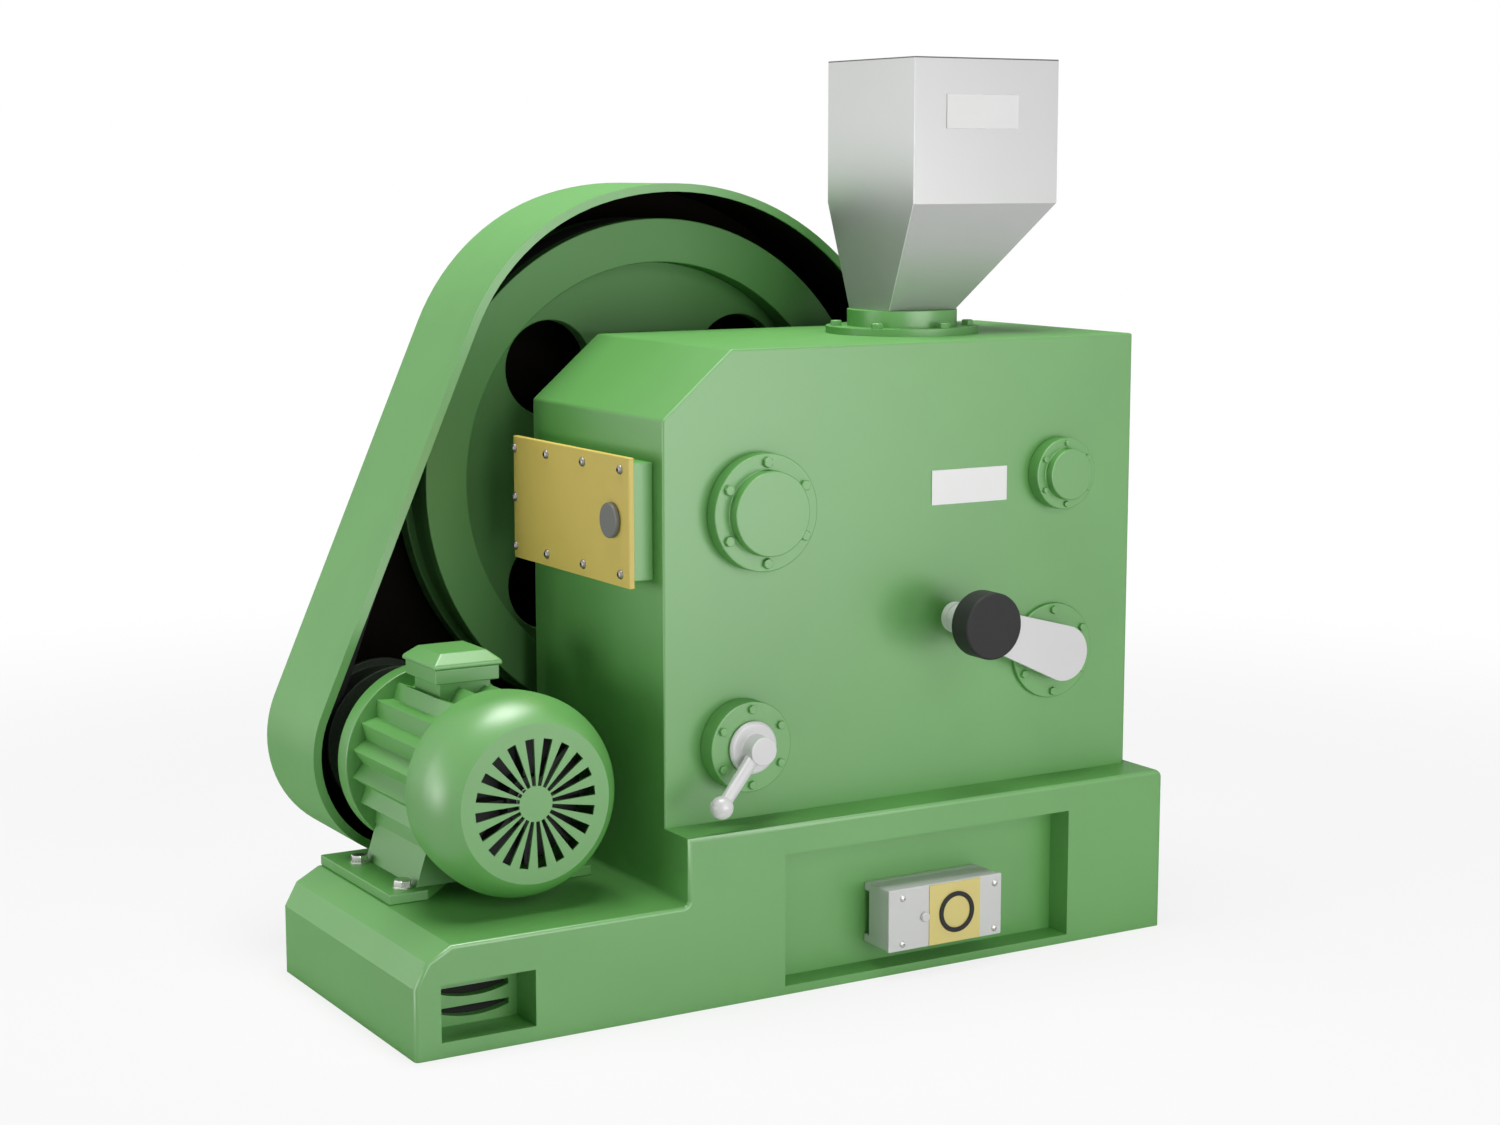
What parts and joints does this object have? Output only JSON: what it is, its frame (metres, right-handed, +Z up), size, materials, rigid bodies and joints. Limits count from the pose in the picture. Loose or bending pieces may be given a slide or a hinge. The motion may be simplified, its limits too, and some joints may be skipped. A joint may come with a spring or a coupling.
{
  "type": "laboratory jaw crusher",
  "caption": "Belt-driven laboratory jaw crusher on a stepped base, with feed hopper, guarded flywheel, foot-mounted motor, gap crank, clamp lever and control box.",
  "frame": {"origin": "centre of the base's underside, on the floor", "axes": "+Z up, front with the controls towards -Y, +X to the right along the front, motor at -X, flywheel guard towards +Y"},
  "size_m": [1, 0.576, 1.0595],
  "materials": {
    "green_paint": "satin",
    "guard_paint": "satin",
    "wheel_paint": "satin",
    "hopper_steel": "brushed",
    "plate_white": "matt",
    "yellow_plate": "satin",
    "grey_plug": "satin",
    "box_grey": "satin",
    "yellow_panel": "satin",
    "black_plastic": "matt",
    "jaw_iron": "rough",
    "belt_rubber": "matt",
    "shaft_steel": "ground",
    "pulley_iron": "turned",
    "fan_plastic": "matt",
    "handle_steel": "satin"
  },
  "bodies": {
    "frame": {"base": "green_paint", "housing": "green_paint", "feed_flange": "green_paint", "large_cover": "green_paint", "small_cover": "green_paint", "crank_flange": "green_paint", "lever_flange": "green_paint", "side_block": "green_paint", "rear_bearing": "green_paint", "guard_band": "green_paint", "guard_lip": "green_paint", "motor_plate": "green_paint", "motor_body": "green_paint", "motor_flange": "green_paint", "fan_cowl": "green_paint", "terminal_box": "green_paint", "terminal_lid": "green_paint", "guard_back": "guard_paint", "hopper": "hopper_steel", "hopper_label": "plate_white", "name_plate": "plate_white", "side_cover": "yellow_plate", "side_plug": "grey_plug", "control_rails": "box_grey", "control_box": "box_grey", "control_cover": "box_grey", "control_panel": "yellow_panel", "control_ring": "black_plastic", "control_knob": "box_grey", "fixed_jaw": "jaw_iron", "swing_jaw": "jaw_iron", "drive_belt": "belt_rubber"},
    "flywheel": {"flywheel_rim": "wheel_paint", "flywheel_web": "wheel_paint", "flywheel_hub": "wheel_paint", "drive_shaft": "shaft_steel"},
    "motor_rotor": {"motor_shaft": "shaft_steel", "motor_pulley": "pulley_iron", "motor_fan": "fan_plastic"},
    "crank": {"crank_arm": "handle_steel", "crank_spindle": "shaft_steel", "crank_knob": "black_plastic"},
    "clamp_lever": {"lever_hub": "handle_steel", "lever_rod": "handle_steel", "lever_ball": "handle_steel"}
  },
  "joints": [
    {"name": "flywheel_spin", "type": "hinge", "parent": "frame", "child": "flywheel", "pos_m": [0.025, 0.277, 0.552], "axis": [0, 1, 0], "continuous": true},
    {"name": "motor_spin", "type": "hinge", "parent": "frame", "child": "motor_rotor", "pos_m": [-0.328, 0.277, 0.246], "axis": [0, 1, 0], "continuous": true},
    {"name": "crank_turn", "type": "hinge", "parent": "frame", "child": "crank", "pos_m": [0.365, -0.16, 0.352], "axis": [0, 1, 0], "range_deg": [-50, 50]},
    {"name": "lever_turn", "type": "hinge", "parent": "frame", "child": "clamp_lever", "pos_m": [-0.072, -0.18, 0.2855], "axis": [0, 1, 0], "range_deg": [0, 90]}
  ],
  "couplings": [
    {"joint": "motor_spin", "follows": "flywheel_spin", "ratio": 3.5714}
  ]
}
